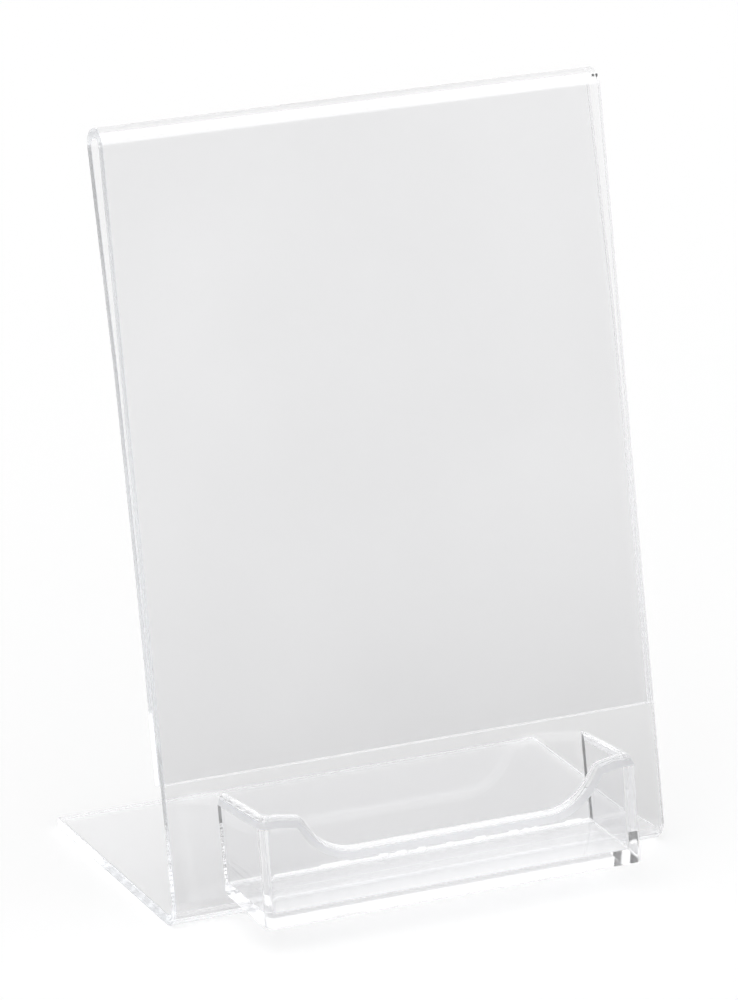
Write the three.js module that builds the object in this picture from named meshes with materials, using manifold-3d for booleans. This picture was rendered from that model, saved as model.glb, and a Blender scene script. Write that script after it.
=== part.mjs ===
// Clear counter-top menu stand with a business card pocket.
// One flat sheet is bent into a base, a leaning panel and a folded-over rear flap that
// holds the menu. A moulded pocket, open at the back, is bonded to the panel's front face.
// Millimetres, +Z up, +X to the right and +Y to the back as the reader sees the panel.

import * as THREE from 'three';
import { mergeVertices } from 'three/addons/utils/BufferGeometryUtils.js';
import Module from 'manifold-3d';

const wasm = await Module();
wasm.setup();

const degrees = Math.PI / 180;

// Sheet
const SHEET_WIDTH = 130;
const SHEET_THICKNESS = 2.5;
const BASE_DEPTH = 70.5; // rear edge to the line where the panel's front face meets the table
const PANEL_LENGTH = 189.6; // along the slope, from that line to the top of the fold
const PANEL_LEAN = 14.1 * degrees; // back from upright
const BEND_INNER_RADIUS = 3;
const FOLD_GAP = 4.1; // between panel and flap, just under the fold
const FLAP_LENGTH = 154.6; // along the slope, from the top of the fold to the lower edge
const FLAP_REST_LENGTH = 43; // lower stretch of the flap that lies against the panel
const MENU_GAP = 0.3; // between the panel and that stretch, for a sheet of paper

// Card pocket
const POCKET_WIDTH = 98.8;
const POCKET_OFFSET = -2.6; // from the sheet's middle
const POCKET_DEPTH = 22.4; // panel to front wall, along the bottom
const POCKET_BACK_HEIGHT = 24.2; // along the panel
const POCKET_FRONT_HEIGHT = 26.4; // along the front wall
const POCKET_FRONT_LEAN = 10.6 * degrees; // back from upright
const POCKET_WALL = 2.4;
const POCKET_FLOOR = 2.8;
const POCKET_CORNER_RADIUS = 2;
const POCKET_INNER_RADIUS = 1;
const POCKET_SEAT = 0.2; // from the end of the bend up to the pocket's bottom
const BOND_GAP = 0.3; // between the panel's front face and the pocket's back edges

// Finger dip in the pocket's front wall, measured along that wall
const DIP_DEPTH = 10.4;
const DIP_SHOULDER = 10.7; // length of each end that stays high
const DIP_SHOULDER_FALL = 1; // by which each end drops towards the dip
const DIP_SLOPE = 56 * degrees; // of the straight part of each side
const DIP_LIP_RADIUS = 2; // at the top of each side
const DIP_FOOT_RADIUS = 14; // at the foot of each side

// Steps along each curve, and how far a cutting block runs past what it cuts
const ARC_STEPS = 16;
const OVERCUT = 10;

// Where the bends of the sheet start and end
const bendOuterRadius = BEND_INNER_RADIUS + SHEET_THICKNESS;
const bendTangent = bendOuterRadius * Math.tan((Math.PI / 2 + PANEL_LEAN) / 2);
const foldInnerRadius = FOLD_GAP / 2;
const foldOuterRadius = foldInnerRadius + SHEET_THICKNESS;

// A direction or point in (back, up), turned back from upright by an angle
function leaned(back, up, angle) {
  return new THREE.Vector2(back, up).rotateAround(new THREE.Vector2(), -angle);
}

// A point behind the panel's front face and up its slope, as (y, z)
function onPanel(behind, up) {
  return leaned(behind, up, PANEL_LEAN);
}

// A curve's points, without those that repeat the one before where two arcs meet
function pointsAlong(path) {
  const shortest = 1e-6;
  const points = path.getPoints(ARC_STEPS);
  return points.filter((point, i) => i === 0 || point.distanceTo(points[i - 1]) > shortest);
}

// Extrudes a closed outline along +Z, with one shared vertex at each corner
function prism(outline, length) {
  const shape = new THREE.Shape(outline);
  const geometry = new THREE.ExtrudeGeometry(shape, { depth: length, bevelEnabled: false });
  geometry.deleteAttribute('normal');
  geometry.deleteAttribute('uv');
  return mergeVertices(geometry);
}

// A prism of an outline in (y, z), laid across the stand with its middle at x
function crosswise(outline, length, x) {
  const axes = new THREE.Matrix4().makeBasis(
    new THREE.Vector3(0, 1, 0), new THREE.Vector3(0, 0, 1), new THREE.Vector3(1, 0, 0));
  return prism(outline, length).applyMatrix4(axes).translate(x - length / 2, 0, 0);
}

function toSolid(geometry) {
  const vertProperties = new Float32Array(geometry.attributes.position.array);
  const triVerts = new Uint32Array(geometry.index.array);
  return new wasm.Manifold(new wasm.Mesh({ numProp: 3, vertProperties, triVerts }));
}

function toGeometry(solid) {
  const { vertProperties, triVerts } = solid.getMesh();
  const geometry = new THREE.BufferGeometry();
  geometry.setAttribute('position', new THREE.BufferAttribute(vertProperties, 3));
  geometry.setIndex(new THREE.BufferAttribute(triVerts, 1));
  return geometry;
}

// The bent sheet from its side, as (y, z). Behind the panel the flap bows in from the fold
// on one long arc, tangent to the fold above and to the stretch that rests on the panel.
function sheetOutline() {
  const lean = PANEL_LEAN;
  const flapEnd = PANEL_LENGTH - FLAP_LENGTH;
  const foldUp = PANEL_LENGTH - foldOuterRadius;
  const restTop = flapEnd + FLAP_REST_LENGTH;
  const bowRun = foldUp - restTop;
  const bowTurn = 2 * Math.atan((FOLD_GAP - MENU_GAP) / bowRun);
  const bowRadius = bowRun / Math.sin(bowTurn) - foldInnerRadius;
  const flapFront = SHEET_THICKNESS + MENU_GAP;
  const flapBack = flapFront + SHEET_THICKNESS;
  const fold = onPanel(foldOuterRadius, foldUp);
  const bow = onPanel(flapFront + bowRadius, restTop);

  const outer = new THREE.Path();
  outer.moveTo(BASE_DEPTH, 0);
  outer.lineTo(bendTangent, 0);
  outer.absarc(bendTangent, bendOuterRadius, bendOuterRadius, -Math.PI / 2, -Math.PI - lean, true);
  outer.absarc(fold.x, fold.y, foldOuterRadius, Math.PI - lean, -bowTurn - lean, true);
  outer.absarc(bow.x, bow.y, bowRadius - SHEET_THICKNESS, Math.PI - bowTurn - lean, Math.PI - lean, false);

  const inner = new THREE.Path();
  inner.absarc(bow.x, bow.y, bowRadius, Math.PI - lean, Math.PI - bowTurn - lean, true);
  inner.absarc(fold.x, fold.y, foldInnerRadius, -bowTurn - lean, Math.PI - lean, false);
  inner.absarc(bendTangent, bendOuterRadius, BEND_INNER_RADIUS, -Math.PI - lean, -Math.PI / 2, false);
  inner.lineTo(BASE_DEPTH, SHEET_THICKNESS);

  const flapEdge = [onPanel(flapBack, flapEnd), onPanel(flapFront, flapEnd)];
  return [...pointsAlong(outer), ...flapEdge, ...pointsAlong(inner)];
}

// Corners of the pocket's side view, as (y, z)
const backLow = onPanel(-BOND_GAP, bendTangent + POCKET_SEAT);
const backHigh = onPanel(-BOND_GAP, bendTangent + POCKET_SEAT + POCKET_BACK_HEIGHT);
const frontLow = new THREE.Vector2(backLow.x - POCKET_DEPTH, backLow.y);
const frontHigh = leaned(0, POCKET_FRONT_HEIGHT, POCKET_FRONT_LEAN).add(frontLow);

// Past this line (y, z) nothing of the pocket is left: its back edges and its sloping top.
// It runs past the bottom and the front, where the leaning block has its own faces.
function pocketSideOutline() {
  const forward = frontHigh.clone().sub(backHigh).setLength(OVERCUT);
  const down = backLow.clone().sub(backHigh).setLength(OVERCUT);
  const topEnd = frontHigh.clone().add(forward);
  const backEnd = backLow.clone().add(down);
  const corner = new THREE.Vector2(frontLow.x - OVERCUT, backEnd.y);
  return [backHigh, topEnd, corner, backEnd];
}

// Plan of a block with round front corners, as (x, back from the pocket's front)
function planOutline(inset, radius) {
  const side = POCKET_WIDTH / 2 - inset;
  const front = inset / Math.cos(POCKET_FRONT_LEAN);
  const back = POCKET_DEPTH + POCKET_BACK_HEIGHT + OVERCUT;
  const outline = new THREE.Path();
  outline.moveTo(side, back);
  outline.lineTo(-side, back);
  outline.absarc(radius - side, front + radius, radius, Math.PI, Math.PI * 1.5, false);
  outline.absarc(side - radius, front + radius, radius, -Math.PI / 2, 0, false);
  return pointsAlong(outline);
}

// That plan, raised from a height above the pocket's bottom and leaning back as its front does
function leaningBlock(inset, radius, low) {
  const high = POCKET_FRONT_HEIGHT + OVERCUT;
  const backPerUp = Math.tan(POCKET_FRONT_LEAN);
  const shear = new THREE.Matrix4().makeShear(0, 0, 0, 0, 0, backPerUp);
  return prism(planOutline(inset, radius), high - low)
    .translate(0, 0, low)
    .applyMatrix4(shear)
    .translate(POCKET_OFFSET, frontLow.x, frontLow.y);
}

// The dip's opening from the middle to its right end, as (x, up from the wall's high ends)
function dipSide() {
  const end = POCKET_WIDTH / 2 - Math.max(POCKET_CORNER_RADIUS, POCKET_WALL);
  const corner = new THREE.Vector2(POCKET_WIDTH / 2 - DIP_SHOULDER, -DIP_SHOULDER_FALL);
  const shoulder = Math.atan2(DIP_SHOULDER_FALL, end - corner.x);
  const footReach = (DIP_DEPTH - DIP_SHOULDER_FALL) / Math.tan(DIP_SLOPE);
  const footX = corner.x - footReach - DIP_FOOT_RADIUS * Math.tan(DIP_SLOPE / 2);
  const lipTangent = DIP_LIP_RADIUS * Math.tan((DIP_SLOPE - shoulder) / 2);
  const lip = new THREE.Vector2(lipTangent, -DIP_LIP_RADIUS)
    .rotateAround(new THREE.Vector2(), shoulder)
    .add(corner);

  const side = new THREE.Path();
  side.absarc(footX, DIP_FOOT_RADIUS - DIP_DEPTH, DIP_FOOT_RADIUS, -Math.PI / 2, DIP_SLOPE - Math.PI / 2, false);
  side.absarc(lip.x, lip.y, DIP_LIP_RADIUS, DIP_SLOPE + Math.PI / 2, shoulder + Math.PI / 2, true);
  side.lineTo(end, 0);
  side.lineTo(end, OVERCUT);
  return pointsAlong(side);
}

// The dip as a block that runs square through the front wall
function dipBlock() {
  const right = dipSide();
  const left = right.map((point) => new THREE.Vector2(-point.x, point.y)).reverse();
  const upWall = leaned(0, 1, POCKET_FRONT_LEAN);
  const across = new THREE.Vector3(1, 0, 0);
  const up = new THREE.Vector3(0, upWall.x, upWall.y);
  const axes = new THREE.Matrix4().makeBasis(across, up, across.clone().cross(up));
  return prism([...right, ...left], POCKET_WALL + 2 * OVERCUT)
    .translate(0, 0, -POCKET_WALL - OVERCUT)
    .applyMatrix4(axes)
    .translate(POCKET_OFFSET, frontHigh.x, frontHigh.y);
}

function pocketGeometry() {
  const outside = toSolid(leaningBlock(0, POCKET_CORNER_RADIUS, 0));
  const between = toSolid(crosswise(pocketSideOutline(), POCKET_WIDTH + 2 * OVERCUT, POCKET_OFFSET));
  const inside = toSolid(leaningBlock(POCKET_WALL, POCKET_INNER_RADIUS, POCKET_FLOOR));
  const dip = toSolid(dipBlock());
  return toGeometry(outside.intersect(between).subtract(inside).subtract(dip));
}

function clearPlastic(name, colour, geometry) {
  geometry.computeVertexNormals();
  const finish = { color: colour, roughness: 0.04, metalness: 0, transparent: true, opacity: 0.35 };
  const mesh = new THREE.Mesh(geometry, new THREE.MeshStandardMaterial(finish));
  mesh.name = name;
  return mesh;
}

const stand = new THREE.Group();
stand.add(clearPlastic('holder_sheet', 0xe9eef2, crosswise(sheetOutline(), SHEET_WIDTH, 0)));
stand.add(clearPlastic('card_pocket', 0xeef1f2, pocketGeometry()));

// The origin is on the table, under the middle of the stand's box
const reach = new THREE.Box3().setFromObject(stand, true);
stand.children.forEach((piece) => {
  piece.position.y = -(reach.min.y + reach.max.y) / 2;
});

export default stand;
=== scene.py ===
"""Clear counter-top menu stand with a business card pocket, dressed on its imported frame.

One clear sheet is bent into a base, a leaning panel and a rear flap that holds the menu. A
moulded pocket for business cards, open at the back, is bonded to the panel's front face.
Lengths are in metres, with +X to the reader's right, +Y to the back and +Z up.
"""

import logging
import math
from dataclasses import dataclass, field
from enum import Enum
from typing import Iterable, Sequence

import bmesh
import bpy
from bpy.types import ID, GeometryNodeTree, Material, Mesh, Node, NodeSocket, NodeTree
from bpy.types import Object, ShaderNodeTree
from mathutils import Matrix, Vector


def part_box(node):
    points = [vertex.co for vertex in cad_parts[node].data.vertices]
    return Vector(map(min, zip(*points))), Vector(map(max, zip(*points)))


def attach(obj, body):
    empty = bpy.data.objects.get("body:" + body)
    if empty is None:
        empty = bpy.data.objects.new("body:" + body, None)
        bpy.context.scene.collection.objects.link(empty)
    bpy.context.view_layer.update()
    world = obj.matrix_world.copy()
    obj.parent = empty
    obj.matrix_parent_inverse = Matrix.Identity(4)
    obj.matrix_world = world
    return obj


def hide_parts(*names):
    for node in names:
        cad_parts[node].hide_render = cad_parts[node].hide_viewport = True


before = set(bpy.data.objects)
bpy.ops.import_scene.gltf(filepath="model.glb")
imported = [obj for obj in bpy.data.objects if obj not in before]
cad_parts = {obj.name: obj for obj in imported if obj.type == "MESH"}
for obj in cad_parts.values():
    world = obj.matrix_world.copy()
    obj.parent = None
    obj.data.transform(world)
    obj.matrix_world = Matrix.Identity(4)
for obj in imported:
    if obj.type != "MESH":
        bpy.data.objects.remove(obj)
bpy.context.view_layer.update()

log = logging.getLogger("menu_stand")

MM = 0.001
QUARTER = math.pi / 2
ARC_STEP = math.radians(3)
REPEAT_GAP = 1e-7
SQUARE_EDGE = math.radians(60)
SHARP_EDGE = math.radians(20)
ACRYLIC_IOR = 1.491

SocketValue = NodeSocket | float | Sequence[float]


class Ray(Enum):
    """The kinds of ray that the floor and the surroundings tell apart."""

    CAMERA = "Is Camera Ray"
    GLOSSY = "Is Glossy Ray"
    TRANSMISSION = "Is Transmission Ray"


class Surface(Enum):
    """The finishes of a clear piece, by material slot."""

    FACE = 0
    EDGE = 1
    UNDERSIDE = 2


def turned(behind: float, up: float, lean: float) -> Vector:
    """Places a point behind a leaning face and up along it.

    Args:
        behind: Distance square to the face, to the back.
        up: Distance along the face, upwards.
        lean: How far the face leans back from upright.

    Returns:
        The same place as (y, z), from the foot of the face.
    """
    sine, cosine = math.sin(lean), math.cos(lean)
    return Vector((behind * cosine + up * sine, up * cosine - behind * sine))


def arc(centre: Vector, radius: float, start: float, end: float) -> list[Vector]:
    """Points along an arc.

    Args:
        centre: The arc's centre.
        radius: The arc's radius.
        start: The angle at which it starts.
        end: The angle at which it ends, either way round.

    Returns:
        Its points, both ends included, no more than ARC_STEP apart.
    """
    count = max(2, math.ceil(abs(end - start) / ARC_STEP))
    angles = [start + (end - start) * i / count for i in range(count + 1)]
    return [centre + radius * Vector((math.cos(a), math.sin(a))) for a in angles]


def quarter_turn(steps: int) -> list[float]:
    """The angles of a quarter turn in even steps, both ends included."""
    return [QUARTER * i / steps for i in range(steps + 1)]


def without_repeats(points: Iterable[Vector]) -> list[Vector]:
    """Drops the points of a line that repeat the one before.

    Args:
        points: The line's points, in order.

    Returns:
        The points that are left.
    """
    kept: list[Vector] = []
    for point in points:
        if not kept or (point - kept[-1]).length > REPEAT_GAP:
            kept.append(point)
    return kept


def rounded(corners: Sequence[Vector], radii: Sequence[float]) -> list[tuple[Vector, Vector]]:
    """A line of straight stretches with round corners.

    Args:
        corners: The line's ends and the sharp corners between them.
        radii: The radius at each corner between the ends.

    Returns:
        Its points, each with the normal on the left of the way along it.
    """
    line: list[tuple[Vector, Vector]] = []

    def left_of(way: Vector) -> Vector:
        """The normal on the left of a way along the line."""
        return Vector((-way.y, way.x))

    first = (corners[1] - corners[0]).normalized()
    line.append((corners[0], left_of(first)))
    for before, corner, after, radius in zip(corners, corners[1:], corners[2:], radii):
        way_in = (corner - before).normalized()
        way_out = (after - corner).normalized()
        turn = math.atan2(way_in.cross(way_out), way_in.dot(way_out))
        start = corner - way_in * radius * math.tan(abs(turn) / 2)
        side = math.copysign(1, turn)
        centre = start + left_of(way_in) * radius * side
        count = max(2, math.ceil(abs(turn) / (2 * ARC_STEP)))
        for i in range(count + 1):
            normal = Matrix.Rotation(turn * i / count, 2) @ left_of(way_in)
            line.append((centre - normal * radius * side, normal))
    last = (corners[-1] - corners[-2]).normalized()
    line.append((corners[-1], left_of(last)))
    return line


@dataclass
class NodeKit:
    """Adds nodes to one tree and links them.

    Args:
        tree: The tree that it works on.
    """

    tree: NodeTree

    def add(self, kind: str, inputs: dict | None = None, **settings: str | NodeTree) -> Node:
        """Adds a node.

        Args:
            kind: The node's type.
            inputs: What goes into its sockets, by name or number: a socket or a value.
            settings: The node's own settings.

        Returns:
            The new node.
        """
        node = self.tree.nodes.new(kind)
        for name, value in settings.items():
            setattr(node, name, value)
        for name, value in (inputs or {}).items():
            self.feed(node.inputs[name], value)
        return node

    def feed(self, socket: NodeSocket, value: SocketValue) -> None:
        """Links something into a socket, or sets the socket to it.

        Args:
            socket: The input socket.
            value: The output socket that feeds it, or its value.
        """
        if isinstance(value, NodeSocket):
            self.tree.links.new(value, socket)
        else:
            socket.default_value = value

    def maths(self, operation: str, *values: SocketValue) -> NodeSocket:
        """The result of a Math node on one, two or three sockets or numbers."""
        inputs = dict(enumerate(values))
        return self.add("ShaderNodeMath", inputs, operation=operation).outputs[0]

    def ramp(
        self, value: SocketValue, ends: tuple[float, float],
        results: tuple[SocketValue, SocketValue] = (0.0, 1.0),
    ) -> NodeSocket:
        """Adds a smooth step.

        Args:
            value: What the step follows.
            ends: Where on it the step starts and ends.
            results: What comes out before the step and after it.

        Returns:
            The result.
        """
        inputs = {"Value": value, "From Min": ends[0], "From Max": ends[1]}
        inputs |= {"To Min": results[0], "To Max": results[1]}
        node = self.add("ShaderNodeMapRange", inputs, interpolation_type="SMOOTHSTEP")
        return node.outputs[0]

    def noise(self, place: NodeSocket, per_metre: SocketValue, detail: float) -> NodeSocket:
        """The value of a noise at a place, with that many lumps to a metre."""
        inputs = {"Vector": place, "Scale": per_metre, "Detail": detail}
        return self.add("ShaderNodeTexNoise", inputs).outputs["Fac"]

    def any_ray(self, *rays: Ray) -> NodeSocket:
        """Tells some kinds of ray from the rest.

        Args:
            rays: The kinds.

        Returns:
            1 for a ray of one of these kinds, and 0 for any other.
        """
        path = self.add("ShaderNodeLightPath")
        total = path.outputs[rays[0].value]
        for ray in rays[1:]:
            total = self.maths("MAXIMUM", total, path.outputs[ray.value])
        return total

    def seen_in_glass(self) -> NodeSocket:
        """Tells what the camera sees through or in the plastic from light on the floor.

        Returns:
            1 for what is seen so, and 0 for light that a matt surface has scattered.
        """
        depth = self.add("ShaderNodeLightPath").outputs["Diffuse Depth"]
        unscattered = self.maths("LESS_THAN", depth, 0.5)
        return self.maths("MULTIPLY", unscattered, self.any_ray(Ray.GLOSSY, Ray.TRANSMISSION))

    def end_sweep(self, shape: NodeSocket, finish: NodeSocket, name: str) -> None:
        """Ends a Geometry Nodes tree that draws a section along a line.

        Args:
            shape: The swept geometry.
            finish: The material that it gets.
            name: The name of the tree's output.
        """
        shape = self.add("GeometryNodeSetShadeSmooth", {0: shape}).outputs[0]
        shape = self.add("GeometryNodeRealizeInstances", {0: shape}).outputs[0]
        inputs = {"Geometry": shape, "Material": finish}
        shape = self.add("GeometryNodeSetMaterial", inputs).outputs[0]
        self.add("NodeGroupOutput", {name: shape})


def new_tree(name: str, kind: str, inputs: dict[str, str], outputs: dict[str, str]) -> NodeTree:
    """Makes a node tree that has its sockets and no nodes.

    Args:
        name: The tree's name.
        kind: The type of tree.
        inputs: What each input takes, by name.
        outputs: What each output gives, by name.

    Returns:
        The new tree.
    """
    tree = bpy.data.node_groups.new(name, kind)
    for in_out, sockets in (("INPUT", inputs), ("OUTPUT", outputs)):
        for socket, holds in sockets.items():
            socket_type = f"NodeSocket{holds}"
            tree.interface.new_socket(name=socket, in_out=in_out, socket_type=socket_type)
    return tree


def new_material(name: str) -> tuple[Material, NodeKit]:
    """Makes a material without nodes.

    Args:
        name: The material's name.
    """
    material = bpy.data.materials.new(name)
    material.use_nodes = True
    material.node_tree.nodes.clear()
    return material, NodeKit(material.node_tree)


def new_object(name: str, data: ID) -> Object:
    """Makes an object and puts it in the scene.

    Args:
        name: The object's name.
        data: Its mesh or camera.

    Returns:
        The new object, at the origin.
    """
    thing = bpy.data.objects.new(name, data)
    bpy.context.scene.collection.objects.link(thing)
    return thing


def acrylic_surface_group() -> ShaderNodeTree:
    """Builds the shader group that all the clear plastic shares.

    Returns:
        A group that puts out the tint, roughness and ripple of a polished acrylic surface.
    """
    inputs = {"Position": "Vector", "Tint": "Color", "Roughness": "Float", "Haze": "Float"}
    inputs |= {"Ripple Scale": "Float", "Ripple Height": "Float"}
    outputs = {"Colour": "Color", "Roughness": "Float", "Height": "Float"}
    tree = new_tree("Acrylic surface", "ShaderNodeTree", inputs, outputs)
    clouds_per_metre, wipes_per_metre = 14.0, 45.0
    clouds_darkest = 0.985

    kit = NodeKit(tree)
    given = kit.add("NodeGroupInput").outputs
    place = given["Position"]
    cloud = kit.noise(place, clouds_per_metre, 2.0)
    shade = kit.ramp(cloud, (0.3, 0.7), (clouds_darkest, 1.0))
    colour = kit.add("ShaderNodeVectorMath", {0: given["Tint"], "Scale": shade}, operation="SCALE")
    smudge = kit.ramp(kit.noise(place, wipes_per_metre, 4.0), (0.55, 0.8))
    rough = kit.maths("MULTIPLY_ADD", smudge, given["Haze"], given["Roughness"])
    wave = kit.noise(place, given["Ripple Scale"], 1.0)
    height = kit.maths("MULTIPLY", wave, given["Ripple Height"])
    out = {"Colour": colour.outputs[0], "Roughness": rough, "Height": height}
    kit.add("NodeGroupOutput", out)
    return tree


@dataclass(frozen=True)
class ClearAcrylic:
    """One finish of clear acrylic.

    Args:
        name: The material's name.
        tint: What a wall of it lets through, as red, green and blue.
        roughness: The roughness of its polish.
        haze: How much rougher it is where it was wiped.
        ripple_scale: How many ripples there are to a metre.
        ripple_height: How high they are.
    """

    name: str
    tint: tuple[float, float, float]
    roughness: float
    haze: float
    ripple_scale: float
    ripple_height: float

    def material(self, group: ShaderNodeTree) -> Material:
        """Builds the material.

        Args:
            group: The shared shader group for acrylic surfaces.

        Returns:
            The new material.
        """
        material, kit = new_material(self.name)
        place = kit.add("ShaderNodeTexCoord").outputs["Object"]
        given = {"Position": place, "Tint": (*self.tint, 1), "Roughness": self.roughness}
        given |= {"Haze": self.haze, "Ripple Scale": self.ripple_scale}
        given |= {"Ripple Height": self.ripple_height}
        skin = kit.add("ShaderNodeGroup", given, node_tree=group).outputs
        bump = kit.add("ShaderNodeBump", {"Height": skin["Height"], "Distance": 1.0}).outputs[0]
        given = {"Base Color": skin["Colour"], "Roughness": skin["Roughness"], "Normal": bump}
        given |= {"Metallic": 0.0, "Transmission Weight": 1.0, "IOR": ACRYLIC_IOR}
        shader = kit.add("ShaderNodeBsdfPrincipled", given).outputs["BSDF"]
        kit.add("ShaderNodeOutputMaterial", {"Surface": shader})
        return material


POLISHED_FACE = ClearAcrylic(
    name="polished sheet face", tint=(0.975, 0.975, 0.979),
    roughness=0.0, haze=0.012, ripple_scale=25.0, ripple_height=0.00001)
POLISHED_EDGE = ClearAcrylic(
    name="flame polished edge", tint=(0.92, 0.935, 0.96),
    roughness=0.08, haze=0.05, ripple_scale=90.0, ripple_height=0.000006)
MOULDED_GLOSS = ClearAcrylic(
    name="moulded pocket", tint=(0.968, 0.969, 0.974),
    roughness=0.0, haze=0.012, ripple_scale=60.0, ripple_height=0.00002)
# The rim's outer chamfer strip: its darker, greyer tint is painted shade for the grey band that the
# rim shows.
RIM_CHAMFER_PAINTED_SHADE = ClearAcrylic(
    name="rim chamfer painted shade", tint=(0.79, 0.795, 0.815),
    roughness=0.5, haze=0.05, ripple_scale=120.0, ripple_height=0.00001)
MOULDED_UNDERSIDE = ClearAcrylic(
    name="moulded underside", tint=(0.973, 0.974, 0.978),
    roughness=0.08, haze=0.04, ripple_scale=120.0, ripple_height=0.00001)


@dataclass(frozen=True)
class SetCement:
    """The solvent cement that squeezed out of the joint and set milky.

    Args:
        name: The material's name.
        colour: Its colour where it is thickest, as red, green and blue.
        roughness: Its roughness.
        clouds: How many clouds there are to a metre.
        darkest: What is left of the colour between the clouds.
        grain: How deep its uneven skin is.
    """

    name: str = "set solvent cement"
    colour: tuple[float, float, float] = (0.99, 0.99, 0.99)
    roughness: float = 0.1
    clouds: float = 900.0
    darkest: float = 0.95
    grain: float = 0.1 * MM

    def material(self) -> Material:
        """Builds the material.

        Returns:
            The new material.
        """
        material, kit = new_material(self.name)
        place = kit.add("ShaderNodeTexCoord").outputs["Object"]
        cloud = kit.noise(place, self.clouds, 2.0)
        shade = kit.ramp(cloud, (0.35, 0.6), (self.darkest, 1.0))
        given = {0: self.colour, "Scale": shade}
        colour = kit.add("ShaderNodeVectorMath", given, operation="SCALE").outputs[0]
        bump = kit.add("ShaderNodeBump", {"Height": cloud, "Distance": self.grain}).outputs[0]
        given = {"Base Color": colour, "Normal": bump, "Roughness": self.roughness}
        shader = kit.add("ShaderNodeBsdfPrincipled", given).outputs["BSDF"]
        kit.add("ShaderNodeOutputMaterial", {"Surface": shader})
        return material


def closed_mesh(name: str, verts: Sequence[Vector], faces: Sequence[Sequence[int]]) -> Mesh:
    """Makes a mesh of a closed shape, with its faces pointing out.

    Args:
        name: The mesh's name.
        verts: Its points.
        faces: The numbers of each face's points.

    Returns:
        The new mesh.
    """
    mesh = bpy.data.meshes.new(name)
    mesh.from_pydata(verts, [], faces)
    shape = bmesh.new()
    shape.from_mesh(mesh)
    bmesh.ops.recalc_face_normals(shape, faces=shape.faces)
    shape.to_mesh(mesh)
    shape.free()
    return mesh


def run_tree(piece: Object, tree: GeometryNodeTree, values: dict) -> None:
    """Puts a Geometry Nodes tree on a piece and sets its inputs.

    Args:
        piece: The piece.
        tree: The tree, whose name the modifier gets too.
        values: The value of each input, by name.
    """
    modifier = piece.modifiers.new(tree.name, "NODES")
    modifier.node_group = tree
    for item in tree.interface.items_tree:
        if item.name in values and item.in_out == "INPUT":
            modifier[item.identifier] = values[item.name]


def finished_mesh(piece: Object, bevel: float = 0.0) -> None:
    """Rounds a piece's square edges, evens its normals and bakes it to a plain mesh.

    Args:
        piece: The piece, with any modifiers of its own.
        bevel: The radius of its square edges, or 0 to leave them.
    """
    if bevel:
        round_edges = piece.modifiers.new("Round edges", "BEVEL")
        round_edges.limit_method = "ANGLE"
        round_edges.angle_limit = SQUARE_EDGE
        round_edges.width = bevel
        round_edges.segments = 3
    even = piece.modifiers.new("Even normals", "WEIGHTED_NORMAL")
    even.mode = "FACE_AREA"
    even.weight = 50
    even.keep_sharp = True
    bpy.context.view_layer.update()
    evaluated = piece.evaluated_get(bpy.context.evaluated_depsgraph_get())
    mesh = bpy.data.meshes.new_from_object(evaluated)
    piece.modifiers.clear()
    piece.data = mesh
    mesh.name = piece.name


def bent_sheet_tree() -> GeometryNodeTree:
    """Builds the Geometry Nodes tree that draws a flat sheet along its bends.

    Returns:
        A tree that turns a line of edges into a sheet of the given width and thickness.
    """
    inputs = {"Line": "Geometry", "Width": "Float", "Thickness": "Float", "Edge Radius": "Float"}
    inputs["Finish"] = "Material"
    tree = new_tree("Bent sheet", "GeometryNodeTree", inputs, {"Sheet": "Geometry"})
    kit = NodeKit(tree)
    given = kit.add("NodeGroupInput").outputs
    line = kit.add("GeometryNodeMeshToCurve", {"Mesh": given["Line"]}).outputs[0]
    size = {"Width": given["Width"], "Height": given["Thickness"]}
    section = kit.add("GeometryNodeCurvePrimitiveQuadrilateral", size).outputs[0]
    corner = {"Curve": section, "Radius": given["Edge Radius"], "Count": 4}
    section = kit.add("GeometryNodeFilletCurve", corner, mode="POLY").outputs[0]
    sweep = {"Curve": line, "Profile Curve": section, "Fill Caps": True}
    sheet = kit.add("GeometryNodeCurveToMesh", sweep).outputs[0]
    kit.end_sweep(sheet, given["Finish"], "Sheet")
    return tree


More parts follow.
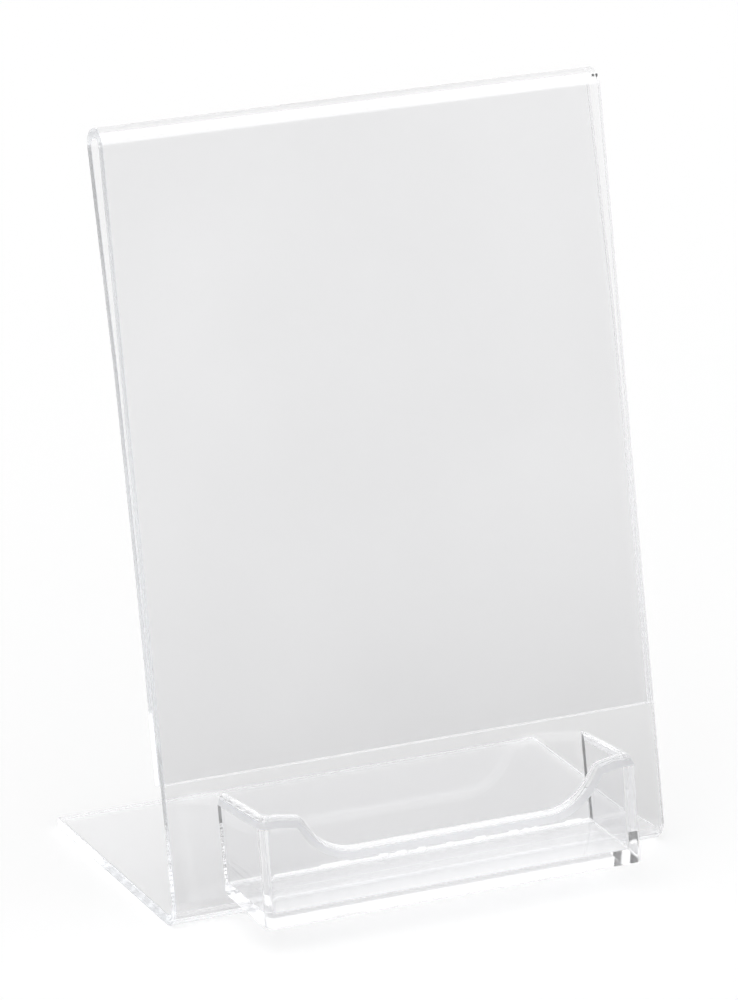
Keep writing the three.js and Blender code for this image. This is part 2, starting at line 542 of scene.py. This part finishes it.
@dataclass
class HolderSheet:
    """The bent sheet: base, leaning panel and folded-over flap.

    Args:
        node: The CAD node that it replaces.
        thickness: The sheet's thickness.
        base_depth: From the line where the panel meets the table to the base's rear edge.
        panel_length: From the same line up the panel to the top of the fold.
        lean: How far the panel leans back from upright.
        bend_inner_radius: The inner radius of the bend between base and panel.
        fold_gap: The gap between panel and flap at the fold.
        flap_length: From the top of the fold to the flap's lower edge.
        flap_rest_length: How much of the flap lies flat along the panel.
        menu_gap: The gap between panel and flap there.
        edge_radius: The round of the sawn edges.
    """

    node: str = "holder_sheet"
    thickness: float = 2.5 * MM
    base_depth: float = 70.5 * MM
    panel_length: float = 189.6 * MM
    lean: float = math.radians(14.1)
    bend_inner_radius: float = 3 * MM
    fold_gap: float = 4.1 * MM
    flap_length: float = 154.6 * MM
    flap_rest_length: float = 43 * MM
    menu_gap: float = 0.3 * MM
    edge_radius: float = 0.25 * MM
    width: float = field(init=False)
    corner_y: float = field(init=False)

    def __post_init__(self) -> None:
        """Takes the width and the line where the panel meets the table from the frame."""
        low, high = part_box(self.node)
        self.width = high.x - low.x
        self.corner_y = high.y - self.base_depth

    @property
    def bend_end(self) -> float:
        """How far up the panel the bend reaches."""
        return (self.bend_inner_radius + self.thickness) * math.tan((QUARTER + self.lean) / 2)

    def centreline(self) -> list[Vector]:
        """The line through the middle of the sheet from the base's rear edge to the flap's end.

        Returns:
            Its points as (y, z), with y from the line where the panel meets the table.
        """
        half = self.thickness / 2
        bend_outer = self.bend_inner_radius + self.thickness
        fold_inner = self.fold_gap / 2
        fold_outer = fold_inner + self.thickness
        fold_up = self.panel_length - fold_outer
        flap_end = self.panel_length - self.flap_length
        rest_top = flap_end + self.flap_rest_length
        bow_run = fold_up - rest_top
        bow_turn = 2 * math.atan((self.fold_gap - self.menu_gap) / bow_run)
        bow_radius = bow_run / math.sin(bow_turn) - fold_inner
        flap_front = self.thickness + self.menu_gap

        bend = Vector((self.bend_end, bend_outer))
        fold = turned(fold_outer, fold_up, self.lean)
        bow = turned(flap_front + bow_radius, rest_top, self.lean)
        fold_finish = -bow_turn - self.lean
        bow_start = math.pi - bow_turn - self.lean
        return without_repeats([
            Vector((self.base_depth, half)),
            *arc(bend, self.bend_inner_radius + half, -QUARTER, -math.pi - self.lean),
            *arc(fold, fold_inner + half, math.pi - self.lean, fold_finish),
            *arc(bow, bow_radius - half, bow_start, math.pi - self.lean),
            turned(flap_front + half, flap_end, self.lean),
        ])

    def build(self, group: ShaderNodeTree) -> Object:
        """Makes the sheet, dresses it and puts it in its CAD node's place.

        Args:
            group: The shared shader group for acrylic surfaces.

        Returns:
            The finished piece.
        """
        points = [(0, self.corner_y + y, z) for y, z in self.centreline()]
        mesh = bpy.data.meshes.new("bent sheet line")
        mesh.from_pydata(points, [(i, i + 1) for i in range(len(points) - 1)], [])
        piece = new_object("bent_sheet", mesh)
        face = POLISHED_FACE.material(group)
        values = {"Width": self.width, "Thickness": self.thickness, "Edge Radius": self.edge_radius}
        run_tree(piece, bent_sheet_tree(), values | {"Finish": face})
        finished_mesh(piece, bevel=self.edge_radius)
        self.dress(piece, face, POLISHED_EDGE.material(group))
        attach(piece, "root")
        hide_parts(self.node)
        return piece

    def dress(self, piece: Object, face: Material, edge: Material) -> None:
        """Gives the sawn edges their own finish.

        Args:
            piece: The sheet.
            face: The finish of its faces.
            edge: The finish of its edges.
        """
        piece.data.materials.clear()
        piece.data.materials.append(face)
        piece.data.materials.append(edge)
        steep = math.cos(SQUARE_EDGE)
        most_corners = 8
        for polygon in piece.data.polygons:
            on_side = abs(polygon.normal.x) > steep
            on_end = len(polygon.vertices) > most_corners
            kind = Surface.EDGE if on_side or on_end else Surface.FACE
            polygon.material_index = kind.value


@dataclass
class Column:
    """One upright slice through the pocket's wall.

    Args:
        outer_foot: The wall's outer side at the pocket's bottom, as (x, y).
        outer_head: The outer side at the reference height, as (x, y).
        inner_foot: The wall's inner side at the pocket's bottom, as (x, y).
        inner_head: The inner side at the reference height, as (x, y).
        crest: The height at which the rim starts, above the bottom.
        rim_way: The way in which the rim rises, one unit long.
    """

    outer_foot: Vector
    outer_head: Vector
    inner_foot: Vector
    inner_head: Vector
    crest: float
    rim_way: Vector


@dataclass
class CardPocket:
    """The moulded tray for business cards, bonded to the panel.

    Its walls are slices side by side, from the left wall's back edge round to the right one's.

    Args:
        sheet: The sheet whose panel carries it.
        node: The CAD node that it replaces.
        depth: From the bond to the front wall's foot.
        back_height: Its height along the panel.
        front_height: The height along the front wall.
        front_lean: How far the front wall's top leans back.
        wall: The thickness of its walls.
        floor: The thickness of its floor.
        corner_radius_low: The outer radius of the front corners, at the bottom.
        corner_radius_high: The same at the top.
        inner_radius: Their inner radius.
        floor_fillet: The round inside, where walls and floor meet.
        chamfer_height: The height of the flat outer side of the rim.
        chamfer_depth: How far that side leans in.
        rim_inner_radius: The round on the rim's inner side.
        foot_radius: The round under the walls.
        seat: How far above the end of the sheet's bend it stands.
        bond_gap: The gap to the panel that the CAD model keeps.
        bond_depth: How far its back edges reach into the panel, so that no gap shows.
        dip_depth: The depth of the finger dip.
        dip_shoulder: From the pocket's side to the dip's shoulder.
        dip_shoulder_start: The same to where the rim starts to fall to the shoulder.
        dip_shoulder_radius: The round where it starts to fall.
        dip_shoulder_fall: How far it has fallen at the shoulder.
        dip_slope: How steep the dip's flanks are.
        dip_lip_radius: The round at the shoulder.
        dip_foot_radius: The round at the foot of a flank.
        corner_margin: How far short of the corner the front's last slice stands.
        rim_steps: The steps in the rim's large round.
        fillet_steps: The steps in each small round.
        corner_steps: The steps in each front corner.
    """

    sheet: HolderSheet
    node: str = "card_pocket"
    depth: float = 22.4 * MM
    back_height: float = 24.2 * MM
    front_height: float = 26.4 * MM
    front_lean: float = math.radians(10.6)
    wall: float = 2.4 * MM
    floor: float = 2.8 * MM
    corner_radius_low: float = 1.5 * MM
    corner_radius_high: float = 2.0 * MM
    inner_radius: float = 1.0 * MM
    floor_fillet: float = 0.4 * MM
    chamfer_height: float = 1.5 * MM
    chamfer_depth: float = 0.6 * MM
    rim_inner_radius: float = 0.4 * MM
    foot_radius: float = 0.45 * MM
    seat: float = 0.2 * MM
    bond_gap: float = 0.3 * MM
    bond_depth: float = 0.05 * MM
    dip_depth: float = 10.4 * MM
    dip_shoulder: float = 10.7 * MM
    dip_shoulder_start: float = 4.9 * MM
    dip_shoulder_radius: float = 12 * MM
    dip_shoulder_fall: float = 1 * MM
    dip_slope: float = math.radians(56)
    dip_lip_radius: float = 2.8 * MM
    dip_foot_radius: float = 14 * MM
    corner_margin: float = 0.1 * MM
    rim_steps: int = 8
    fillet_steps: int = 5
    corner_steps: int = 10
    half_width: float = field(init=False)
    middle: float = field(init=False)
    back_low: Vector = field(init=False)
    back_high: Vector = field(init=False)
    front_low: Vector = field(init=False)
    front_high: Vector = field(init=False)
    bottom: float = field(init=False)
    full_height: float = field(init=False)
    wall_across: float = field(init=False)
    rim_start: float = field(init=False)
    rim_radius: float = field(init=False)
    rim_height: float = field(init=False)

    def __post_init__(self) -> None:
        """Takes the width and the middle from the frame, and the side view from the sheet."""
        low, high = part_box(self.node)
        self.half_width = (high.x - low.x) / 2
        self.middle = (high.x + low.x) / 2
        lean = self.sheet.lean
        foot = self.sheet.bend_end + self.seat
        rear_low = turned(-self.bond_gap, foot, lean)
        rear_high = turned(-self.bond_gap, foot + self.back_height, lean)
        bond = Vector(((self.bond_gap + self.bond_depth) / math.cos(lean), 0))
        self.back_low, self.back_high = rear_low + bond, rear_high + bond
        self.front_low = rear_low - Vector((self.depth, 0))
        self.front_high = self.front_low + turned(0, self.front_height, self.front_lean)
        self.bottom = self.front_low.y
        self.wall_across = self.wall / math.cos(self.front_lean)
        self.full_height = self.front_high.y - self.bottom
        self.rim_start = math.atan2(self.chamfer_depth, self.chamfer_height)
        rim_depth = self.wall - self.chamfer_depth - self.rim_inner_radius
        self.rim_radius = rim_depth / math.cos(self.rim_start)
        self.rim_height = self.chamfer_height + self.rim_radius * (1 - math.sin(self.rim_start))

    def front_at(self, height: float) -> float:
        """The front wall's outer face, as y at a height above the bottom."""
        return self.front_low.x + height * math.tan(self.front_lean)

    def back_at(self, height: float) -> float:
        """The pocket's back edge, as y at a height above the bottom."""
        return self.back_low.x + height * math.tan(self.sheet.lean)

    def top_at(self, y: float) -> float:
        """The height above the bottom of the line from the back's top to the front's top."""
        fall = (self.front_high.y - self.back_high.y) / (self.front_high.x - self.back_high.x)
        return self.front_high.y + (y - self.front_high.x) * fall - self.bottom

    def side_column(self, side: float, back: float) -> Column:
        """A slice through a side wall.

        Args:
            side: 1 for the right wall and -1 for the left one.
            back: How far back it is, from 0 where the front corner starts to 1 at the panel.

        Returns:
            The slice.
        """

        def place(x: float, height: float, radius: float) -> Vector:
            """A point on one side of the wall, with its front corner's radius."""
            start = self.front_at(height) + radius
            return Vector((x * side, start + (self.back_at(height) - start) * back))

        outer, inner = self.half_width, self.half_width - self.wall
        inset = self.wall_across + self.inner_radius
        high = self.full_height
        lean = self.front_lean + (self.sheet.lean - self.front_lean) * back
        start = self.front_at(high) + self.corner_radius_high
        top = self.top_at(start + (self.back_at(high) - start) * back)
        return Column(
            place(outer, 0, self.corner_radius_low), place(outer, high, self.corner_radius_high),
            place(inner, 0, inset), place(inner, high, inset),
            top - self.rim_height * math.cos(lean), Vector((0, math.sin(lean), math.cos(lean))))

    def corner_column(self, side: float, turn: float) -> Column:
        """A slice through a front corner.

        Args:
            side: 1 for the right corner and -1 for the left one.
            turn: The angle from the side wall's way out, 0, to the front wall's, a quarter turn.

        Returns:
            The slice.
        """
        way = Vector((math.cos(turn) * side, -math.sin(turn)))

        def outer(height: float, radius: float) -> Vector:
            """A point on the outer side of the corner."""
            centre = Vector(((self.half_width - radius) * side, self.front_at(height) + radius))
            return centre + way * radius

        def inner(height: float) -> Vector:
            """A point on the inner side of the corner."""
            inset = self.wall_across + self.inner_radius
            x = self.half_width - self.wall - self.inner_radius
            return Vector((x * side, self.front_at(height) + inset)) + way * self.inner_radius

        high = self.full_height
        head = outer(high, self.corner_radius_high)
        lean = self.front_lean
        return Column(
            outer(0, self.corner_radius_low), head, inner(0), inner(high),
            self.top_at(head.y) - self.rim_height * math.cos(lean),
            Vector((0, math.sin(lean), math.cos(lean))))

    def front_columns(self) -> list[Column]:
        """Makes the slices through the front wall.

        Returns:
            The slices, from the wall's left end over the dip to its right end.
        """
        shoulder = Vector((self.half_width - self.dip_shoulder, -self.dip_shoulder_fall))
        foot_reach = (self.dip_depth - self.dip_shoulder_fall) / math.tan(self.dip_slope)
        corners = [
            Vector((0, -self.dip_depth)),
            Vector((shoulder.x - foot_reach, -self.dip_depth)),
            shoulder,
            Vector((self.half_width - self.dip_shoulder_start, 0)),
            Vector((self.half_width - self.corner_radius_high - self.corner_margin, 0)),
        ]
        radii = [self.dip_foot_radius, self.dip_lip_radius, self.dip_shoulder_radius]
        right = rounded(corners, radii)
        left = [(Vector((-p.x, p.y)), Vector((-n.x, n.y))) for p, n in reversed(right)]
        return [self.front_column(point, normal) for point, normal in left + right[1:]]

    def front_column(self, point: Vector, normal: Vector) -> Column:
        """A slice through the front wall.

        Args:
            point: The rim's highest point there, across and up from the front's top corner.
            normal: The normal of the rim's line there, across and up.

        Returns:
            The slice.
        """
        start = point - normal * self.rim_height
        crest = (self.front_height + start.y) * math.cos(self.front_lean)
        up = turned(0, normal.y, self.front_lean)
        high = self.full_height
        return Column(
            Vector((start.x, self.front_at(0))), Vector((start.x, self.front_at(high))),
            Vector((start.x, self.front_at(0) + self.wall_across)),
            Vector((start.x, self.front_at(high) + self.wall_across)),
            crest, Vector((normal.x, up.x, up.y)))

    def slice_points(self, column: Column) -> list[Vector]:
        """The outline of a slice, from under the floor, over the rim, to the floor's top.

        Args:
            column: The slice through the wall.

        Returns:
            Its points, in the stand's own frame.
        """
        points: list[Vector] = []

        def add(share_in: float, height: float, shift: Vector = Vector((0, 0, 0))) -> None:
            """Adds a point to the outline.

            Args:
                share_in: Its place across the wall, from 0 outside to 1 inside.
                height: Its height above the bottom.
                shift: How far it is moved from there.
            """
            part = height / self.full_height
            outer = column.outer_foot.lerp(column.outer_head, part)
            inner = column.inner_foot.lerp(column.inner_head, part)
            x, y = outer.lerp(inner, share_in)
            place = Vector((self.middle + x, self.sheet.corner_y + y, self.bottom + height))
            points.append(place + shift)

        width = (column.inner_foot - column.outer_foot).length
        for angle in quarter_turn(self.fillet_steps):
            inset = self.foot_radius * (1 - math.sin(angle)) / width
            add(inset, self.foot_radius * (1 - math.cos(angle)))
        add(0, column.crest)
        start = self.rim_start
        for i in range(self.rim_steps + 1):
            angle = start + (QUARTER - start) * i / self.rim_steps
            depth = self.chamfer_depth + self.rim_radius * (math.cos(start) - math.cos(angle))
            lift = self.chamfer_height + self.rim_radius * (math.sin(angle) - math.sin(start))
            add(depth / self.wall, column.crest, column.rim_way * lift)
        small = self.rim_inner_radius / self.wall
        for angle in quarter_turn(self.fillet_steps)[1:]:
            lift = self.rim_height - self.rim_inner_radius * (1 - math.cos(angle))
            add(1 - small * (1 - math.sin(angle)), column.crest, column.rim_way * lift)
        for angle in quarter_turn(self.fillet_steps):
            inset = self.floor_fillet * (1 - math.cos(angle)) / width
            add(1 + inset, self.floor + self.floor_fillet * (1 - math.sin(angle)))
        return points

    def build(self, group: ShaderNodeTree) -> Object:
        """Makes the pocket, dresses it and puts it in its CAD node's place.

        Args:
            group: The shared shader group for acrylic surfaces.

        Returns:
            The finished piece.
        """
        turns = quarter_turn(self.corner_steps)[1:-1]
        columns = [self.side_column(-1, 1), self.side_column(-1, 0)]
        columns += [self.corner_column(-1, turn) for turn in turns]
        columns += self.front_columns()
        columns += [self.corner_column(1, turn) for turn in reversed(turns)]
        columns += [self.side_column(1, 0), self.side_column(1, 1)]
        slices = [self.slice_points(column) for column in columns]
        across, round_count = len(slices), len(slices[0])
        verts = [point for outline in slices for point in outline]

        def at(i: int, j: int) -> int:
            """The number of the vertex at slice i and place j in its outline."""
            return i * round_count + j

        faces = [
            (at(i, j), at(i + 1, j), at(i + 1, j + 1), at(i, j + 1))
            for i in range(across - 1) for j in range(round_count - 1)
        ]
        last = across - 1
        faces.append(tuple(at(i, 0) for i in range(last, -1, -1)))
        faces.append(tuple(at(i, round_count - 1) for i in range(across)))
        left_end = [at(0, j) for j in range(round_count)]
        right_end = [at(last, j) for j in range(round_count - 1, -1, -1)]
        faces.append(tuple(left_end + right_end))
        mesh = closed_mesh("moulded_pocket", verts, faces)
        mesh.shade_smooth()
        mesh.set_sharp_from_angle(angle=SHARP_EDGE)
        piece = new_object("moulded_pocket", mesh)
        for finish in (MOULDED_GLOSS, RIM_CHAMFER_PAINTED_SHADE, MOULDED_UNDERSIDE):
            mesh.materials.append(finish.material(group))
        # The rim's outer chamfer strip takes the finish with the painted shade.
        chamfer_strip = self.fillet_steps + 1
        for i in range(across - 1):
            strip = mesh.polygons[i * (round_count - 1) + chamfer_strip]
            strip.material_index = Surface.EDGE.value
        mesh.polygons[(across - 1) * (round_count - 1)].material_index = Surface.UNDERSIDE.value
        finished_mesh(piece)
        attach(piece, "root")
        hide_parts(self.node)
        return piece


def cement_bead_tree() -> GeometryNodeTree:
    """Builds the Geometry Nodes tree that lays a lumpy bead of cement along a line.

    Returns:
        A tree that turns a line of edges into a bead with lumps here and there.
    """
    inputs = {"Line": "Geometry", "Radius": "Float", "Lump Radius": "Float"}
    inputs |= {"Lumps Per Metre": "Float", "Finish": "Material"}
    tree = new_tree("Cement bead", "GeometryNodeTree", inputs, {"Bead": "Geometry"})
    rings, ring_sides = 360, 8
    kit = NodeKit(tree)
    given = kit.add("NodeGroupInput").outputs
    line = kit.add("GeometryNodeMeshToCurve", {"Mesh": given["Line"]}).outputs[0]
    line = kit.add("GeometryNodeResampleCurve", {"Curve": line, "Count": rings}).outputs[0]
    place = kit.add("GeometryNodeInputPosition").outputs[0]
    noise = kit.noise(place, given["Lumps Per Metre"], 1.0)
    lump = kit.maths("MULTIPLY", kit.ramp(noise, (0.54, 0.6)), given["Lump Radius"])
    radius = kit.maths("ADD", lump, given["Radius"])
    circle = {"Resolution": ring_sides, "Radius": 1.0}
    ring = kit.add("GeometryNodeCurvePrimitiveCircle", circle).outputs[0]
    sweep = {"Curve": line, "Profile Curve": ring, "Scale": radius, "Fill Caps": True}
    bead = kit.add("GeometryNodeCurveToMesh", sweep).outputs[0]
    kit.end_sweep(bead, given["Finish"], "Bead")
    return tree


@dataclass
class CementBead:
    """The cement that squeezed out where the pocket's floor meets the panel.

    Args:
        pocket: The pocket that it holds to the panel.
        radius: The bead's radius between its lumps.
        lump_radius: How much thicker it is at a lump.
        lumps: How many lumps there may be to a metre.
    """

    pocket: CardPocket
    radius: float = 0.22 * MM
    lump_radius: float = 0.4 * MM
    lumps: float = 200.0

    def build(self, group: ShaderNodeTree) -> Object:
        """Makes the bead and dresses it.

        Args:
            group: The shared shader group for acrylic surfaces, which it doesn't need.

        Returns:
            The finished piece.
        """
        pocket = self.pocket
        reach = pocket.half_width - pocket.wall - self.radius
        behind = pocket.sheet.corner_y + pocket.back_at(pocket.floor) - self.radius
        up = pocket.bottom + pocket.floor + self.radius / 2
        ends = [(pocket.middle + side * reach, behind, up) for side in (-1, 1)]
        mesh = bpy.data.meshes.new("cement line")
        mesh.from_pydata(ends, [(0, 1)], [])
        piece = new_object("cement_bead", mesh)
        values = {"Radius": self.radius, "Lump Radius": self.lump_radius}
        values |= {"Lumps Per Metre": self.lumps, "Finish": SetCement().material()}
        run_tree(piece, cement_bead_tree(), values)
        finished_mesh(piece)
        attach(piece, "root")
        return piece


@dataclass
class Studio:
    """The floor, the surroundings and the camera.

    Args:
        floor_size: The side of the square floor.
        floor_drop: How far the floor lies under the stand, so that no faces meet.
        floor_paint: What the floor sends back.
        floor_through: What it sends back far off, seen through or in the plastic.
        painted_shade_place: Where the painted shade on the floor is darkest, seen only through or
            in the plastic.
        painted_shade_depth: How much darker that painted shade makes the floor there.
        painted_shade_reach: How far that painted shade spreads.
        bend_painted_shade_place: The middle of a painted shade on the floor at the bend, seen the
            same way.
        bend_painted_shade_depth: How much darker that painted shade makes the floor there.
        bend_painted_shade_reach: How far that painted shade spreads.
        pocket_painted_light_place: The middle of a painted light on the floor under the pocket,
            seen only through or in the plastic.
        pocket_painted_light_reach: How far that painted light spreads, from its middle, in X and Y.
        pocket_painted_light_fade: Where that painted light fades, from and to, as shares of its
            reach.
        pocket_painted_light: How much lighter that painted light makes the floor there.
        key_way: How much brighter the light is towards +X, +Y and +Z.
        backdrop: How bright glass shows the surroundings behind the stand.
        room_left: How bright glass shows the surroundings in front of it, on the left.
        room_right: The same on the right.
        room_turn: Where the one goes over to the other, from and to, in X.
        room_edge: Where the room goes over to the backdrop, in Y.
        softbox: How bright glass shows the light overhead.
        softbox_rise: Where that light comes in, in Z.
        softbox_edge: Where it ends, in Y.
        dark_way: Where glass shows a dark gap between the lights overhead.
        dark_edge: The cosines from dark_way at which the gap starts and is darkest.
        dark_light: The share of the light that is left in the gap.
        bounces: How often light may bounce inside the sheet, which guides it from edge to edge.
        camera_place: Where the camera stands.
        camera_yaw: How far it looks to the right of straight back.
        camera_pitch: How far it looks down.
        camera_roll: How far it is turned about the way it looks.
        camera_lens: The length of its lens, in millimetres.
        camera_sensor: The width of its sensor, in millimetres.
        camera_range: The nearest and the farthest that it sees.
    """

    floor_size: float = 40.0
    floor_drop: float = 0.03 * MM
    floor_paint: float = 1.0
    floor_through: float = 1.0
    # Painted shade on the floor, seen only through or in the plastic: one pool behind the stand and
    # one at the bend.
    painted_shade_place: tuple[float, float, float] = (100 * MM, -20 * MM, 0.0)
    painted_shade_depth: float = 0.25
    painted_shade_reach: float = 120 * MM
    bend_painted_shade_place: tuple[float, float, float] = (-50 * MM, -12 * MM, 0.0)
    bend_painted_shade_depth: float = 0.16
    bend_painted_shade_reach: float = 30 * MM
    # Painted light on the floor under the pocket, seen only through or in the plastic.
    pocket_painted_light_place: tuple[float, float, float] = (-3 * MM, -38 * MM, 0.0)
    pocket_painted_light_reach: tuple[float, float] = (55 * MM, 16 * MM)
    pocket_painted_light_fade: tuple[float, float] = (0.7, 1.3)
    pocket_painted_light: float = 0.18
    key_way: tuple[float, float, float] = (-0.6, -0.5, 0.0)
    backdrop: float = 1.1
    room_left: float = 0.8
    room_right: float = 0.18
    room_turn: tuple[float, float] = (-0.4, 0.4)
    room_edge: tuple[float, float] = (-0.25, 0.35)
    softbox: float = 2.0
    softbox_rise: tuple[float, float] = (0.15, 0.6)
    softbox_edge: tuple[float, float] = (0.1, 0.25)
    dark_way: tuple[float, float, float] = (-0.45, 0.45, 0.65)
    dark_edge: tuple[float, float] = (0.88, 0.93)
    dark_light: float = 0.02
    bounces: int = 256
    camera_place: tuple[float, float, float] = (-0.64205, -1.27073, 0.61372)
    camera_yaw: float = math.radians(26.628)
    camera_pitch: float = math.radians(20.182)
    camera_roll: float = math.radians(1.060)
    camera_lens: float = 231.0
    camera_sensor: float = 36.0
    camera_range: tuple[float, float] = (0.05, 100.0)

    def build_floor(self) -> Object:
        """Makes the pale floor, with painted shade and painted light that show only through or in
        the plastic.

        Returns:
            The floor.
        """
        half = self.floor_size / 2
        low = -self.floor_drop
        corners = [(-half, -half, low), (half, -half, low), (half, half, low), (-half, half, low)]
        mesh = bpy.data.meshes.new("studio_floor")
        mesh.from_pydata(corners, [], [(0, 1, 2, 3)])
        floor = new_object("studio_floor", mesh)
        material, kit = new_material("pale floor, painted light and shade in glass")
        place = kit.add("ShaderNodeNewGeometry").outputs["Position"]
        through = self.floor_through
        shade = (self.painted_shade_place, self.painted_shade_depth, self.painted_shade_reach)
        bend = (self.bend_painted_shade_place, self.bend_painted_shade_depth, self.bend_painted_shade_reach)
        # Painted shade: seen through or in the plastic, the floor is darker near two places, behind
        # the stand and at the bend.
        for middle, depth, reach in (shade, bend):
            ends = {0: place, 1: middle}
            away = kit.add("ShaderNodeVectorMath", ends, operation="DISTANCE").outputs["Value"]
            fading = kit.maths("EXPONENT", kit.maths("DIVIDE", away, -reach))
            through = kit.maths("MULTIPLY_ADD", fading, -depth, through)
        # Painted light: seen through or in the plastic, the floor is lighter under the pocket.
        ends = {0: place, 1: self.pocket_painted_light_place}
        aside = kit.add("ShaderNodeVectorMath", ends, operation="SUBTRACT")
        split = kit.add("ShaderNodeSeparateXYZ", {0: aside.outputs[0]}).outputs
        painted_light_gain = self.pocket_painted_light
        for axis, reach in zip("XY", self.pocket_painted_light_reach):
            near = kit.maths("ABSOLUTE", split[axis])
            fade = (self.pocket_painted_light_fade[0] * reach, self.pocket_painted_light_fade[1] * reach)
            painted_light_gain = kit.maths("MULTIPLY", painted_light_gain, kit.ramp(near, fade, (1.0, 0.0)))
        through = kit.maths("ADD", through, painted_light_gain)
        # Seen straight, the floor is its plain paint; seen through or in the plastic, it has the
        # painted shade and painted light.
        inputs = {"Factor": kit.seen_in_glass(), "A": self.floor_paint, "B": through}
        paint = kit.add("ShaderNodeMix", inputs).outputs[0]
        matt = kit.add("ShaderNodeBsdfDiffuse", {"Color": paint}).outputs[0]
        kit.add("ShaderNodeOutputMaterial", {"Surface": matt})
        mesh.materials.append(material)
        return floor

    def build_surroundings(self) -> None:
        """Makes a white surround, which glass sees with a darker room in front of the stand."""
        world = bpy.data.worlds.new("studio")
        world.use_nodes = True
        world.node_tree.nodes.clear()
        bpy.context.scene.world = world
        kit = NodeKit(world.node_tree)
        way = kit.add("ShaderNodeTexCoord").outputs["Generated"]
        split = kit.add("ShaderNodeSeparateXYZ", {0: way}).outputs
        room = kit.ramp(split["X"], self.room_turn, (self.room_left, self.room_right))
        seen = kit.ramp(split["Y"], self.room_edge, (room, self.backdrop))
        overhead = kit.ramp(split["Z"], self.softbox_rise, (0.0, self.softbox))
        behind = kit.ramp(split["Y"], self.softbox_edge, (1.0, 0.0))
        overhead = kit.maths("MULTIPLY", overhead, behind)
        seen = kit.maths("MAXIMUM", seen, overhead)
        dark_way = Vector(self.dark_way).normalized()
        along = kit.add("ShaderNodeVectorMath", {0: way, 1: dark_way}, operation="DOT_PRODUCT")
        gap = kit.ramp(along.outputs["Value"], self.dark_edge, (1.0, self.dark_light))
        seen = kit.maths("MULTIPLY", seen, gap)
        tilt = kit.add("ShaderNodeVectorMath", {0: way, 1: self.key_way}, operation="DOT_PRODUCT")
        ambient = kit.maths("ADD", tilt.outputs["Value"], 1.0)
        inputs = {"Factor": kit.seen_in_glass(), "A": ambient, "B": seen}
        light = kit.add("ShaderNodeMix", inputs).outputs[0]
        straight = kit.any_ray(Ray.CAMERA)
        light = kit.add("ShaderNodeMix", {"Factor": straight, "A": light, "B": 1.0}).outputs[0]
        white = {"Color": (1, 1, 1, 1), "Strength": light}
        background = kit.add("ShaderNodeBackground", white).outputs[0]
        kit.add("ShaderNodeOutputWorld", {"Surface": background})

    def build_camera(self) -> Object:
        """Places the camera where the photograph was taken from.

        Returns:
            The camera.
        """
        sine, cosine = math.sin(self.camera_yaw), math.cos(self.camera_yaw)
        down, level = math.sin(self.camera_pitch), math.cos(self.camera_pitch)
        ahead = Vector((sine * level, cosine * level, -down))
        right = Vector((cosine, -sine, 0))
        up = right.cross(ahead)
        turn = Matrix((right, up, -ahead)).transposed() @ Matrix.Rotation(self.camera_roll, 3, "Z")
        data = bpy.data.cameras.new("camera")
        data.lens = self.camera_lens
        data.sensor_width = self.camera_sensor
        data.clip_start, data.clip_end = self.camera_range
        camera = new_object("camera", data)
        camera.matrix_world = Matrix.Translation(self.camera_place) @ turn.to_4x4()
        bpy.context.scene.camera = camera
        return camera

    def build(self) -> None:
        """Builds the studio and sets how colours are shown."""
        scene = bpy.context.scene
        scene.view_settings.view_transform = "Standard"
        scene.cycles.blur_glossy = 0.0
        scene.cycles.max_bounces = self.bounces
        scene.cycles.glossy_bounces = self.bounces
        scene.cycles.transmission_bounces = self.bounces
        self.build_camera()
        self.build_floor()
        self.build_surroundings()


def main() -> None:
    """Builds the studio and the stand, piece by piece."""
    logging.basicConfig(level=logging.INFO, format="%(name)s: %(message)s")
    Studio().build()
    group = acrylic_surface_group()
    sheet = HolderSheet()
    pocket = CardPocket(sheet)
    for builder in (sheet, pocket, CementBead(pocket)):
        piece = builder.build(group)
        log.info("%s: %d faces", piece.name, len(piece.data.polygons))


if __name__ == "__main__":
    main()
